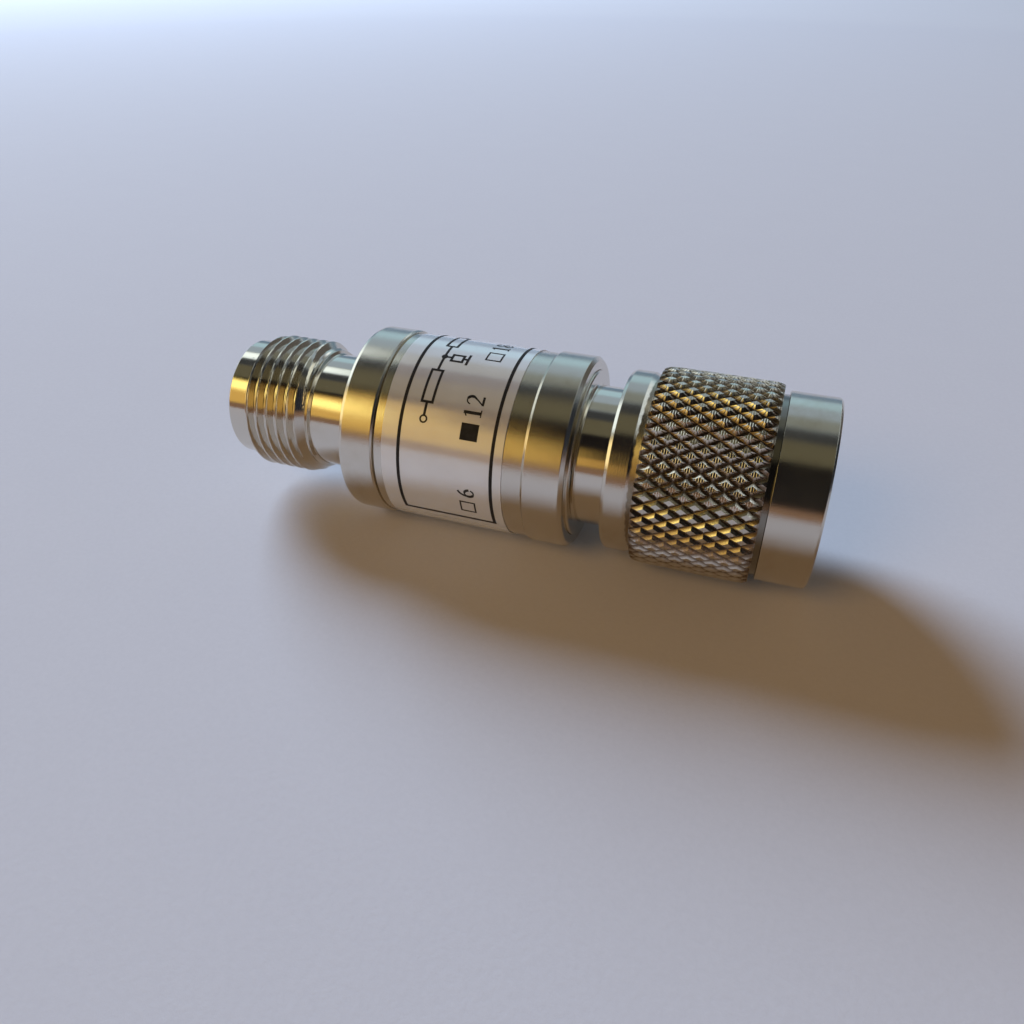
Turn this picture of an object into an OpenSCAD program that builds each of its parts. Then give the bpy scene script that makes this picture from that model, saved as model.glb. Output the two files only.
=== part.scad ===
// In-line coaxial attenuator, threaded jack at the top end and plug with a free coupling nut at the foot.
// It stands on the front face of the coupling nut. The axis is Z, all sizes are in millimetres.

/* [Coupling nut] */
// Outside diameter of the plain ring at the front of the nut
ring_d = 14.1; // [13.6:0.1:14.6]
// Length of the plain front ring
ring_l = 3.6; // [2.6:0.1:4.6]
// Diameter over the knurled grip
knurl_d = 15.1; // [14.9:0.1:15.8]
// Diamonds around the grip
knurl_count = 48; // [36:2:60]
// Half diamonds along the grip, always an even number
knurl_rows = 10; // [8:2:12]
// Length of half a diamond along the axis
knurl_row_l = 0.865; // [0.75:0.005:0.95]
// Depth of the grip's V-shaped furrows
knurl_depth = 0.3; // [0.2:0.01:0.34]
// Share of each diamond left flat on top
knurl_flat = 0.42; // [0.25:0.01:0.6]
// Length of the turned relief at each end of the grip
relief_l = 0.45; // [0.3:0.05:0.7]
// Outside diameter of the plain collar at the back of the nut
collar_d = 13.9; // [13.6:0.1:14.6]
// Length of the back collar
collar_l = 1.85; // [1.4:0.05:2.6]
// Chamfer on the nut's outer edges
nut_chamfer = 0.25; // [0.1:0.05:0.35]

/* [Plug end] */
// Diameter of the plug neck that the nut turns on
neck_d = 10.8; // [10.6:0.05:11]
// Length of neck seen between the nut and the housing
neck_gap = 2.5; // [1.5:0.1:4]
// Outside diameter of the spring sleeve
sleeve_d = 8; // [7.9:0.02:8.1]
// Wall of the spring sleeve at its fingers
finger_wall = 0.65; // [0.5:0.05:0.8]
// Slots in the spring sleeve
sleeve_slots = 4; // [2:1:6]
// Width of a sleeve slot
sleeve_slot_w = 0.4; // [0.3:0.05:0.6]
// Diameter of the centre pin
pin_d = 1.37; // [1.32:0.01:1.4]
// How far the pin tip lies behind the sleeve tip
pin_setback = 0.6; // [0.3:0.1:1]
// Depth of the sleeve tip behind the nut's front face
sleeve_setback = 1.7; // [1.2:0.1:2.2]
// Thickness of the sealing gasket
gasket_l = 1.2; // [0.9:0.1:1.5]
// Axial width of the retaining ring's wire
ring_wire_w = 0.75; // [0.6:0.05:0.9]
// Radial height of the retaining ring's wire
ring_wire_h = 0.9; // [0.8:0.05:1]
// Opening in the split retaining ring, in degrees
ring_split = 24; // [12:2:40]

/* [Housing] */
// Diameter of the jack flange and of the housing rim
body_d = 15; // [14.8:0.1:15.8]
// Depth of the label zone below the rim
label_recess = 0.2; // [0.1:0.05:0.3]
// Length of the rim next to the plug
rim_l = 3.15; // [2.5:0.05:4]
// Length of the label zone
label_zone_l = 11.85; // [11:0.05:14]
// Wall of the housing under the label
housing_wall = 1.3; // [1:0.05:1.5]
// Chamfer on the rim's end
rim_chamfer = 0.45; // [0.2:0.05:0.5]
// Small chamfers beside the seam to the jack
seam_chamfer = 0.14; // [0.08:0.02:0.2]
// Length of each turned end inside the housing
spigot_l = 4.3; // [3.6:0.1:4.8]
// Width of the wrapped label along the axis
label_l = 9.6; // [8.5:0.1:9.8]
// Distance from the seam to the label
label_inset = 0.8; // [0.6:0.1:1]
// Thickness of the label
label_t = 0.08; // [0.05:0.01:0.1]

/* [Jack end] */
// Length of the jack flange
flange_l = 2.75; // [2.2:0.05:3.5]
// Chamfer on the outer edge of the jack flange
flange_chamfer = 0.3; // [0.1:0.05:0.5]
// Diameter of the smooth neck behind the thread
jack_neck_d = 9.3; // [9:0.1:9.8]
// Length of the smooth neck
jack_neck_l = 4.4; // [3.6:0.1:5.5]
// Outside diameter of the 7/16 inch thread
thread_d = 11.11; // [11:0.01:11.12]
// Thread pitch, 28 to the inch
thread_pitch = 0.907; // [0.85:0.001:0.95]
// Whole pitches between the first and the last crest
thread_pitches = 5; // [4:1:6]
// Diameter of the plain nose in front of the thread
nose_d = 9.65; // [9.5:0.05:9.7]
// Length of the plain nose
nose_l = 1.9; // [1.4:0.1:2.4]
// Bore that takes the mating spring sleeve
jack_bore_d = 8.15; // [8.12:0.01:8.3]
// Depth of that bore, which is also the sleeve's reach on the plug
mate_depth = 5.3; // [5:0.1:5.4]
// Outside diameter of the centre socket
socket_d = 2.1; // [2.04:0.02:2.2]
// Bore of the centre socket
socket_bore_d = 1.42; // [1.41:0.01:1.46]
// Width of the two cross slots that make the socket's four fingers
socket_slot_w = 0.18; // [0.12:0.02:0.22]
// Outside diameter of the insulator that stands in the jack's bore
insulator_d = 4.72; // [4.5:0.02:4.9]
// How far the insulator lies behind the nose's front face
insulator_setback = 0.4; // [0.2:0.1:0.8]

/* [Inner line and pad] */
// Bore of both shells for the inner insulators
line_bore_d = 6.5; // [6.2:0.1:6.6]
// Diameter of the inner conductor
rod_d = 1.96; // [1.9:0.02:2]
// Diameter of the contact collars that hold them lengthwise
contact_collar_d = 3.2; // [2.8:0.1:3.6]
// Length of the contact collars
contact_collar_l = 0.8; // [0.6:0.1:1]
// Diameter of the flattened tails on the pad
tail_d = 1.2; // [1:0.1:1.4]
// Length of a tail that lies on the pad
tail_l = 1.3; // [1:0.1:1.5]
// Width of the ceramic substrate
substrate_w = 6.4; // [6:0.1:7]
// Thickness of the ceramic substrate
substrate_t = 0.64; // [0.5:0.02:0.8]
// Thickness of the films printed on the substrate
film_t = 0.04; // [0.03:0.01:0.06]
// Bore of the metal carrier around the films
carrier_bore_d = 5.2; // [4.8:0.1:5.6]

/* [Fits] */
// Radial running clearance between the nut and the neck
run_gap = 0.05; // [0.03:0.01:0.08]
// Radial clearance of pressed, screwed and glued seats
seat_gap = 0.02; // [0.01:0.005:0.03]

/* [Hidden] */
$fn = 96;

// Radii
ring_r = ring_d / 2;
knurl_r = knurl_d / 2;
knurl_root_r = knurl_r - knurl_depth;
collar_r = collar_d / 2;
band_r = min(ring_r, collar_r, knurl_root_r) - 0.2;
neck_r = neck_d / 2;
wire_in_r = neck_r - 0.45;
wire_out_r = wire_in_r + ring_wire_h;
nut_groove_r = wire_out_r + 0.1;
band_inner_r = (band_r + nut_groove_r) / 2;
sleeve_r = sleeve_d / 2;
finger_r = sleeve_r - finger_wall;
pin_r = pin_d / 2;
body_r = body_d / 2;
zone_r = body_r - label_recess;
housing_r = zone_r - housing_wall;
hub_r = housing_r + 0.5;
thread_r = thread_d / 2;
thread_depth = 0.541 * thread_pitch;
thread_root_r = thread_r - thread_depth;
jack_neck_r = jack_neck_d / 2;
nose_r = nose_d / 2;
jack_bore_r = jack_bore_d / 2;
insulator_r = insulator_d / 2;
line_r = line_bore_d / 2;
rod_r = rod_d / 2;
socket_r = socket_d / 2;
socket_bore_r = socket_bore_d / 2;
contact_collar_r = contact_collar_d / 2;
tail_r = tail_d / 2;
sleeve_base_r = sleeve_r + 0.25;
base_r = sleeve_base_r - 0.6;

// Heights, from the front face of the nut up to the nose of the jack
knurl_z = ring_l + relief_l;
knurl_l = knurl_rows * knurl_row_l;
collar_z = knurl_z + knurl_l + relief_l;
nut_l = collar_z + collar_l;
hub_z = nut_l + neck_gap;
hub_stand = 0.2;
hub_depth = 1.2;
housing_z = hub_z + hub_stand;
rim_top_z = housing_z + rim_l;
flange_z = rim_top_z + label_zone_l;
flange_top_z = flange_z + flange_l;
thread_z = flange_top_z + jack_neck_l;
thread_tail_l = 0.56;
thread_lead_l = 0.29;
first_crest_z = thread_z + thread_tail_l;
nose_z = first_crest_z + thread_pitches * thread_pitch + thread_lead_l;
top_z = nose_z + nose_l;
label_z = flange_z - label_inset - label_l;

// Plug end
sleeve_z = sleeve_setback;
gasket_z = sleeve_z + mate_depth;
seat_z = gasket_z + gasket_l;
sleeve_base_l = 3.1;
sleeve_foot_z = seat_z + sleeve_base_l;
plug_insulator_z = gasket_z;
pin_tip_z = sleeve_z + pin_setback;
plug_spigot_z = housing_z + spigot_l;
gasket_r = neck_r - 0.1;
gasket_bore_r = sleeve_base_r + seat_gap;
nut_minor_r = thread_r - thread_depth + 0.09;
nut_major_r = thread_r + 0.05;
nut_thread_z = nut_major_r + 0.15 - nut_minor_r;
nut_relief_r = nut_major_r + 0.1;
nut_relief_z = gasket_z - 0.8;
nut_bore_z = seat_z + 0.4;
nut_bore_r = neck_r + run_gap;
wire_z = (nut_bore_z + nut_l) / 2;
wire_play = 0.06;

// Jack end
jack_floor_z = top_z - mate_depth;
lip_l = 0.8;
lip_z = jack_floor_z - lip_l;
lip_r = insulator_r + seat_gap;
jack_base_l = 2.4;
jack_split_z = lip_z - jack_base_l;
insulator_top_z = top_z - insulator_setback;
socket_top_z = insulator_top_z - 0.2;
socket_depth = 4.6;
jack_spigot_z = flange_z - spigot_l;

// Pad
tail_flat = 0.25;
film_y = -tail_flat;
substrate_y = film_y - film_t;
carrier_l = jack_spigot_z - plug_spigot_z;
pad_play = 0.2;
substrate_l = carrier_l - 2 * pad_play;
substrate_z = plug_spigot_z + pad_play;
terminal_l = tail_l - pad_play + 0.2;
shunt_w = carrier_bore_d - 2 * 0.75;
series_w = 0.5 * shunt_w;
series_l = (substrate_l - 2 * terminal_l) / 3;

// Which piece to draw

// A closed ring turned about the axis from inner and outer radius and a height span
module tube(r_in, r_out, z0, z1) {
  translate([0, 0, z0])
    rotate_extrude()
      translate([r_in, 0])
        square([r_out - r_in, z1 - z0]);
}

// Knurl: V-shaped furrows cross at the corners of flat-topped diamonds.
// Corners and tops lie on half steps around the grip (i) and along it (j).
function grip_point(i, j, r) =
  let (a = 180 * i / knurl_count)
  [r * cos(a), r * sin(a), knurl_z + j * knurl_row_l];
function valley(k, j) = j * knurl_count + (k + knurl_count) % knurl_count;
function top_corner(k, j, c) = grip_tops + 4 * valley(k, j) + c;
function foot(k, end) = grip_feet + end * knurl_count + (k + knurl_count) % knurl_count;
// Tops of the cut-off diamonds at the two ends are bevelled
function top_r(j) = (j == 0 || j == knurl_rows) ? knurl_r - 0.4 * knurl_depth : knurl_r;
function half_up(k, j) =
  let (u = top_corner(k, j, 1), e = top_corner(k, j, 0), w = top_corner(k, j, 2))
  let (vu = valley(k, j + 1), ve = valley(k + j % 2, j), vw = valley(k - 1 + j % 2, j))
  [[u, vu, ve], [u, ve, e], [w, vw, vu], [w, vu, u]];
function half_down(k, j) =
  let (d = top_corner(k, j, 3), e = top_corner(k, j, 0), w = top_corner(k, j, 2))
  let (vd = valley(k, j - 1), ve = valley(k + j % 2, j), vw = valley(k - 1 + j % 2, j))
  [[e, ve, vd], [e, vd, d], [d, vd, vw], [d, vw, w]];
function flat_top(k, j) =
  let (e = top_corner(k, j, 0), u = top_corner(k, j, 1))
  let (w = top_corner(k, j, 2), d = top_corner(k, j, 3))
  j == 0 ? [[u, e, w]] : j == knurl_rows ? [[e, d, w]] : [[u, e, d], [u, d, w]];
function low_end(k) =
  let (a = foot(k, 0), e = top_corner(k, 0, 0), w = top_corner(k, 0, 2))
  let (ve = valley(k, 0), vw = valley(k - 1, 0))
  [[a, vw, w], [a, w, e], [a, e, ve], [a, ve, foot(k + 1, 0)]];
function high_end(k) =
  let (a = foot(k, 1), e = top_corner(k, knurl_rows, 0), w = top_corner(k, knurl_rows, 2))
  let (ve = valley(k, knurl_rows), vw = valley(k - 1, knurl_rows))
  [[a, w, vw], [a, e, w], [a, ve, e], [a, foot(k + 1, 1), ve]];
function back(k) =
  let (a = foot(k, 0), b = foot(k + 1, 0), c = foot(k + 1, 1), d = foot(k, 1))
  [[a, b, c], [a, c, d]];
grip_tops = (knurl_rows + 1) * knurl_count;
grip_feet = 5 * grip_tops;
grip_last = knurl_count - 1;
grip_points = concat(
  [for (j = [0:knurl_rows], k = [0:grip_last])
    grip_point(2 * k + (j + 1) % 2, j, knurl_root_r)],
  [for (j = [0:knurl_rows], k = [0:grip_last], c = [0:3])
    let (up = c == 1 ? min(j + knurl_flat, knurl_rows) : c == 3 ? max(j - knurl_flat, 0) : j)
    let (side = c == 0 ? knurl_flat : c == 2 ? -knurl_flat : 0)
    grip_point(2 * k + j % 2 + side, up, (c == 1 || c == 3) ? knurl_r : top_r(j))],
  [for (end = [0, 1], k = [0:grip_last])
    grip_point(2 * k, end * knurl_rows, band_inner_r)]
);
grip_faces = concat(
  [for (j = [0:knurl_rows - 1], k = [0:grip_last], f = half_up(k, j)) f],
  [for (j = [1:knurl_rows], k = [0:grip_last], f = half_down(k, j)) f],
  [for (j = [0:knurl_rows], k = [0:grip_last], f = flat_top(k, j)) f],
  [for (k = [0:grip_last], f = low_end(k)) f],
  [for (k = [0:grip_last], f = high_end(k)) f],
  [for (k = [0:grip_last], f = back(k)) f]
);

module knurled_grip() {
  polyhedron(points = grip_points, faces = grip_faces);
}

// The nut's thread is drawn as furrows one pitch apart, as many as fit before the relief
nut_turns = floor((nut_relief_z - nut_thread_z - 0.3) / thread_pitch);
function nut_thread_points(k) =
  let (z = nut_thread_z + 0.2 + k * thread_pitch)
  [
    [nut_minor_r, z],
    [nut_major_r, z + 0.3125 * thread_pitch],
    [nut_major_r, z + 0.4375 * thread_pitch],
    [nut_minor_r, z + 0.75 * thread_pitch]
  ];

module coupling_nut() {
  c = nut_chamfer;
  color("silver") {
    rotate_extrude()
      polygon(concat(
        [
          [nut_major_r + 0.15, 0],
          [nut_minor_r, nut_thread_z]
        ],
        [for (k = [0:nut_turns - 1], p = nut_thread_points(k)) p],
        [
          [nut_minor_r, nut_relief_z],
          [nut_relief_r, nut_relief_z + 0.2],
          [nut_relief_r, nut_bore_z],
          [nut_bore_r, nut_bore_z],
          [nut_bore_r, wire_z - ring_wire_w / 2 - wire_play],
          [nut_groove_r, wire_z - ring_wire_w / 2 - wire_play],
          [nut_groove_r, wire_z + ring_wire_w / 2 + wire_play],
          [nut_bore_r, wire_z + ring_wire_w / 2 + wire_play],
          [nut_bore_r, nut_l - 0.2],
          [nut_bore_r + 0.2, nut_l],
          [collar_r - c, nut_l],
          [collar_r, nut_l - c],
          [collar_r, collar_z],
          [band_r, collar_z - relief_l],
          [band_r, ring_l + 0.6 * relief_l],
          [ring_r, ring_l],
          [ring_r, c],
          [ring_r - c, 0]
        ]
      ));
    knurled_grip();
  }
}

module retaining_ring() {
  color("goldenrod")
    translate([0, 0, wire_z - ring_wire_w / 2])
      rotate([0, 0, 90 + ring_split / 2])
        rotate_extrude(angle = 360 - ring_split)
          translate([wire_in_r, 0])
            square([ring_wire_h, ring_wire_w]);
}

module gasket() {
  color("orangered")
    tube(gasket_bore_r, gasket_r, gasket_z, seat_z);
}

module plug_shell() {
  groove_r = wire_in_r - 0.05;
  groove_lo = wire_z - ring_wire_w / 2 - wire_play;
  groove_hi = wire_z + ring_wire_w / 2 + wire_play;
  color("silver")
    rotate_extrude()
      polygon([
        [sleeve_base_r + seat_gap, seat_z],
        [neck_r - 0.1, seat_z],
        [neck_r, seat_z + 0.1],
        [neck_r, groove_lo],
        [groove_r, groove_lo],
        [groove_r, groove_hi],
        [neck_r, groove_hi],
        [neck_r, hub_z - 0.15],
        [neck_r + 0.15, hub_z],
        [hub_r - seat_gap - 0.1, hub_z],
        [hub_r - seat_gap, hub_z + 0.1],
        [hub_r - seat_gap, housing_z + hub_depth],
        [housing_r - seat_gap, housing_z + hub_depth],
        [housing_r - seat_gap, plug_spigot_z - 0.2],
        [housing_r - seat_gap - 0.2, plug_spigot_z],
        [line_r, plug_spigot_z],
        [line_r, sleeve_foot_z],
        [sleeve_base_r + seat_gap, sleeve_foot_z]
      ]);
}

module spring_sleeve() {
  slot_l = gasket_z - sleeve_z;
  color("gold")
    difference() {
      rotate_extrude()
        polygon([
          [finger_r + 0.2, sleeve_z],
          [sleeve_r - 0.15, sleeve_z],
          [sleeve_r, sleeve_z + 0.25],
          [sleeve_r, gasket_z],
          [sleeve_base_r, gasket_z],
          [sleeve_base_r, sleeve_foot_z],
          [base_r, sleeve_foot_z],
          [base_r, plug_insulator_z],
          [finger_r, plug_insulator_z],
          [finger_r, sleeve_z + 0.2]
        ]);
      for (k = [0:sleeve_slots - 1])
        rotate([0, 0, 45 + k * 360 / sleeve_slots])
          translate([finger_r - 0.5, -sleeve_slot_w / 2, sleeve_z - 1])
            cube([finger_wall + 1, sleeve_slot_w, slot_l + 0.6]);
    }
}

module plug_insulator() {
  color("white")
    tube(rod_r + seat_gap, base_r - seat_gap, plug_insulator_z, sleeve_foot_z);
}

module plug_line_insulator() {
  color("white")
    rotate_extrude()
      polygon([
        [contact_collar_r + seat_gap, sleeve_foot_z],
        [line_r - seat_gap, sleeve_foot_z],
        [line_r - seat_gap, plug_spigot_z],
        [rod_r + seat_gap, plug_spigot_z],
        [rod_r + seat_gap, sleeve_foot_z + contact_collar_l],
        [contact_collar_r + seat_gap, sleeve_foot_z + contact_collar_l]
      ]);
}

module plug_pin() {
  color("gold")
    difference() {
      rotate_extrude()
        polygon([
          [0, pin_tip_z],
          [0.25, pin_tip_z],
          [pin_r - 0.12, pin_tip_z + 0.35],
          [pin_r, pin_tip_z + 0.8],
          [pin_r, plug_insulator_z],
          [rod_r, plug_insulator_z],
          [rod_r, sleeve_foot_z],
          [contact_collar_r, sleeve_foot_z],
          [contact_collar_r, sleeve_foot_z + contact_collar_l],
          [rod_r, sleeve_foot_z + contact_collar_l],
          [rod_r, plug_spigot_z],
          [tail_r, plug_spigot_z],
          [tail_r, plug_spigot_z + tail_l],
          [0, plug_spigot_z + tail_l]
        ]);
      translate([-tail_d, -tail_flat - tail_d, plug_spigot_z])
        cube([2 * tail_d, tail_d, tail_l + 1]);
    }
}

module housing() {
  color("silver")
    rotate_extrude()
      polygon([
        [hub_r, housing_z],
        [body_r - rim_chamfer, housing_z],
        [body_r, housing_z + rim_chamfer],
        [body_r, rim_top_z - label_recess],
        [zone_r, rim_top_z],
        [zone_r, flange_z - seam_chamfer],
        [zone_r - seam_chamfer, flange_z],
        [housing_r, flange_z],
        [housing_r, housing_z + hub_depth],
        [hub_r, housing_z + hub_depth]
      ]);
}

module label() {
  color("whitesmoke")
    tube(zone_r + seat_gap / 2, zone_r + seat_gap / 2 + label_t, label_z, label_z + label_l);
}

module pad_carrier() {
  slot_w = substrate_w + 2 * seat_gap;
  slot_t = substrate_t + 2 * seat_gap;
  color("goldenrod")
    difference() {
      translate([0, 0, plug_spigot_z])
        cylinder(r = housing_r - seat_gap, h = carrier_l);
      translate([0, 0, plug_spigot_z - 1])
        cylinder(d = carrier_bore_d, h = carrier_l + 2);
      translate([-slot_w / 2, substrate_y - substrate_t - seat_gap, plug_spigot_z - 1])
        cube([slot_w, slot_t, carrier_l + 2]);
    }
}

module pad_substrate() {
  color("white")
    translate([-substrate_w / 2, substrate_y - substrate_t, substrate_z])
      cube([substrate_w, substrate_t, substrate_l]);
}

// Two series patches in line, with a wider shunt patch between them
module pad_film() {
  lo = substrate_z + terminal_l;
  hi = lo + series_l;
  end = hi + series_l;
  color("dimgray")
    translate([0, substrate_y + film_t, 0])
      rotate([90, 0, 0])
        linear_extrude(film_t)
          polygon([
            [-series_w / 2, lo],
            [series_w / 2, lo],
            [series_w / 2, hi],
            [shunt_w / 2, hi],
            [shunt_w / 2, end],
            [series_w / 2, end],
            [series_w / 2, end + series_l],
            [-series_w / 2, end + series_l],
            [-series_w / 2, end],
            [-shunt_w / 2, end],
            [-shunt_w / 2, hi],
            [-series_w / 2, hi]
          ]);
}

module pad_terminals() {
  color("gainsboro")
    for (z = [substrate_z, substrate_z + substrate_l - terminal_l])
      translate([-series_w / 2, substrate_y, z])
        cube([series_w, film_t, terminal_l]);
}

function crest_points(k) =
  let (z = first_crest_z + k * thread_pitch)
  [
    [thread_r, z - thread_pitch / 16],
    [thread_r, z + thread_pitch / 16],
    [thread_root_r, z + 0.375 * thread_pitch],
    [thread_root_r, z + 0.625 * thread_pitch]
  ];

module jack_shell() {
  last_crest_z = first_crest_z + thread_pitches * thread_pitch;
  color("silver")
    rotate_extrude()
      polygon(concat(
        [
          [line_r, jack_spigot_z],
          [housing_r - seat_gap - 0.2, jack_spigot_z],
          [housing_r - seat_gap, jack_spigot_z + 0.2],
          [housing_r - seat_gap, flange_z],
          [body_r - seam_chamfer, flange_z],
          [body_r, flange_z + seam_chamfer],
          [body_r, flange_top_z - flange_chamfer],
          [body_r - flange_chamfer, flange_top_z],
          [jack_neck_r + 0.15, flange_top_z],
          [jack_neck_r, flange_top_z + 0.15],
          [jack_neck_r, thread_z],
          [thread_root_r, thread_z + 0.26]
        ],
        [for (k = [0:thread_pitches - 1], p = crest_points(k)) p],
        [
          [thread_r, last_crest_z - thread_pitch / 16],
          [thread_r, last_crest_z + thread_pitch / 16],
          [nose_r, nose_z],
          [nose_r, top_z - 0.15],
          [nose_r - 0.15, top_z],
          [jack_bore_r + 0.2, top_z],
          [jack_bore_r, top_z - 0.35],
          [jack_bore_r, jack_floor_z],
          [lip_r, jack_floor_z],
          [lip_r, lip_z],
          [line_r, lip_z]
        ]
      ));
}

module jack_insulator() {
  color("white")
    rotate_extrude()
      polygon([
        [rod_r + seat_gap, jack_split_z],
        [line_r - seat_gap, jack_split_z],
        [line_r - seat_gap, lip_z],
        [insulator_r, lip_z],
        [insulator_r, insulator_top_z - 0.15],
        [insulator_r - 0.15, insulator_top_z],
        [socket_r + 0.15, insulator_top_z],
        [socket_r + 0.05, insulator_top_z - 0.2],
        [socket_r + 0.05, lip_z],
        [rod_r + seat_gap, lip_z]
      ]);
}

module jack_line_insulator() {
  color("white")
    rotate_extrude()
      polygon([
        [rod_r + seat_gap, jack_spigot_z],
        [line_r - seat_gap, jack_spigot_z],
        [line_r - seat_gap, jack_split_z],
        [contact_collar_r + seat_gap, jack_split_z],
        [contact_collar_r + seat_gap, jack_split_z - contact_collar_l],
        [rod_r + seat_gap, jack_split_z - contact_collar_l]
      ]);
}

module jack_socket() {
  slot_l = 3.4;
  color("gold")
    difference() {
      rotate_extrude()
        polygon([
          [0, jack_spigot_z - tail_l],
          [tail_r, jack_spigot_z - tail_l],
          [tail_r, jack_spigot_z],
          [rod_r, jack_spigot_z],
          [rod_r, jack_split_z - contact_collar_l],
          [contact_collar_r, jack_split_z - contact_collar_l],
          [contact_collar_r, jack_split_z],
          [rod_r, jack_split_z],
          [rod_r, lip_z],
          [socket_r, lip_z],
          [socket_r, socket_top_z - 0.1],
          [socket_r - 0.1, socket_top_z],
          [socket_bore_r + 0.12, socket_top_z],
          [socket_bore_r, socket_top_z - 0.2],
          [socket_bore_r, socket_top_z - socket_depth],
          [0, socket_top_z - socket_depth - 0.4]
        ]);
      translate([-tail_d, -tail_flat - tail_d, jack_spigot_z - tail_l - 1])
        cube([2 * tail_d, tail_d, tail_l + 1]);
      for (a = [0, 90])
        rotate([0, 0, a])
          translate([-socket_d, -socket_slot_w / 2, socket_top_z - slot_l])
            cube([2 * socket_d, socket_slot_w, slot_l + 1]);
    }
}

coupling_nut();
retaining_ring();
gasket();
plug_shell();
spring_sleeve();
plug_insulator();
plug_line_insulator();
plug_pin();
housing();
label();
pad_carrier();
pad_substrate();
pad_film();
pad_terminals();
jack_shell();
jack_insulator();
jack_line_insulator();
jack_socket();
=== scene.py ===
import math
import random

import bpy
import numpy as np
from mathutils import Matrix, Vector

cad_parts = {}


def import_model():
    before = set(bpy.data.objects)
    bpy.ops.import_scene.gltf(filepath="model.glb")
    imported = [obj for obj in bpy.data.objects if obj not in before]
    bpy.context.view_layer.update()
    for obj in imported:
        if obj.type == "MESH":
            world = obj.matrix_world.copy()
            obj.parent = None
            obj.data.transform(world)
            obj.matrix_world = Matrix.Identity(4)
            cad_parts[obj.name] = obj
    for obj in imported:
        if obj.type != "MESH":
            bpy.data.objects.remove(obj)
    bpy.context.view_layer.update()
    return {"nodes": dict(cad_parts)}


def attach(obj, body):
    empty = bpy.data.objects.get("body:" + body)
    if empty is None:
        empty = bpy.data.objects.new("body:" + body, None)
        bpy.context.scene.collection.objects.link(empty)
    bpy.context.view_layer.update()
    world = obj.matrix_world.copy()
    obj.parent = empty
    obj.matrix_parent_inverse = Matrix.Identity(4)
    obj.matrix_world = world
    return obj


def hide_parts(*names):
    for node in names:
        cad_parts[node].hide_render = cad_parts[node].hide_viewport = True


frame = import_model()

# Lengths below are in millimetres, as in the part's source; meshes are written in metres.
MM = 0.001
SEGMENTS = 192

# Heights along the axis, from the nut's front face up to the jack's nose
RING_TOP, COLLAR_LOW, NUT_TOP = 3.6, 13.15, 15.0
HUB_LOW, HUB_TOP = 17.5, 18.9
HOUSING_LOW, RIM_TOP, FLANGE_LOW, FLANGE_TOP = 17.7, 20.85, 32.7, 35.45
LABEL_LOW, LABEL_TOP = 22.3, 31.9
THREAD_LOW, NOSE_LOW, TOP = 39.93, 45.235, 47.135

# Radii, and the label's thickness
RING_R, BAND_R, COLLAR_R, NECK_R = 7.05, 6.75, 6.95, 5.4
RIM_R, ZONE_R, HOUSING_R, HUB_R = 7.5, 7.3, 6.0, 6.48
JACK_NECK_R, THREAD_R, NOSE_R, JACK_BORE_R = 4.65, 5.555, 4.825, 4.075
LABEL_R, LABEL_T = 7.31, 0.08

# The threads' pitch and depths, and the share of a turn at which their helix starts
PITCH = 0.907
THREAD_START = 0.155
JACK_THREAD_DEPTH, NUT_THREAD_DEPTH = 0.613 * PITCH, 0.541 * PITCH

# The knurl: rows along the axis, diamonds in a row, the half width of a flat top as a share of the row's height,
# and the tool lines across the tops with the same measure
KNURL_LOW, KNURL_ROW, KNURL_ROWS, KNURL_COUNT = 4.05, 0.865, 10, 48
KNURL_HIGH = KNURL_LOW + KNURL_ROWS * KNURL_ROW
KNURL_TOP_R, KNURL_DEPTH, KNURL_FLAT = 7.55, 0.3, 0.42
TRACKS, TRACK_HALF, TRACK_DEPTH = (0.1, 0.3), 0.034, 0.015


class Shell:
    """Collects closed shells: vertices in millimetres, faces, and a normal for each face corner."""

    def __init__(self):
        self.verts, self.faces, self.normals, self.count = [], [], [], 0

    def add(self, verts, faces, normals):
        """faces: arrays of quads or triangles; normals: one array of corner normals for each of them."""
        for rows, corner in zip(faces, normals):
            self.faces += (rows + self.count).tolist()
            self.normals.append(corner.reshape(-1, 3))
        self.verts.append(verts)
        self.count += len(verts)

    def build(self, name, material):
        mesh = bpy.data.meshes.new(name)
        mesh.from_pydata((np.concatenate(self.verts) * MM).tolist(), [], self.faces, shade_flat=False)
        mesh.normals_split_custom_set(np.concatenate(self.normals).tolist())
        mesh.materials.append(material)
        obj = bpy.data.objects.new(name, mesh)
        bpy.context.scene.collection.objects.link(obj)
        return obj


def unit(v):
    return v / np.linalg.norm(v, axis=-1, keepdims=True)


def flat_normals(verts, rows):
    """The face's own normal at each of its corners."""
    p = verts[rows]
    n = unit(np.cross(p[:, 1] - p[:, 0], p[:, 2] - p[:, 0]))
    return np.repeat(n[:, None, :], rows.shape[1], axis=1)


# A rounding takes at most this share of its lines, in steps of at most this angle
LARGEST_SHARE, ARC_STEP = 0.48, math.radians(15)


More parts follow.
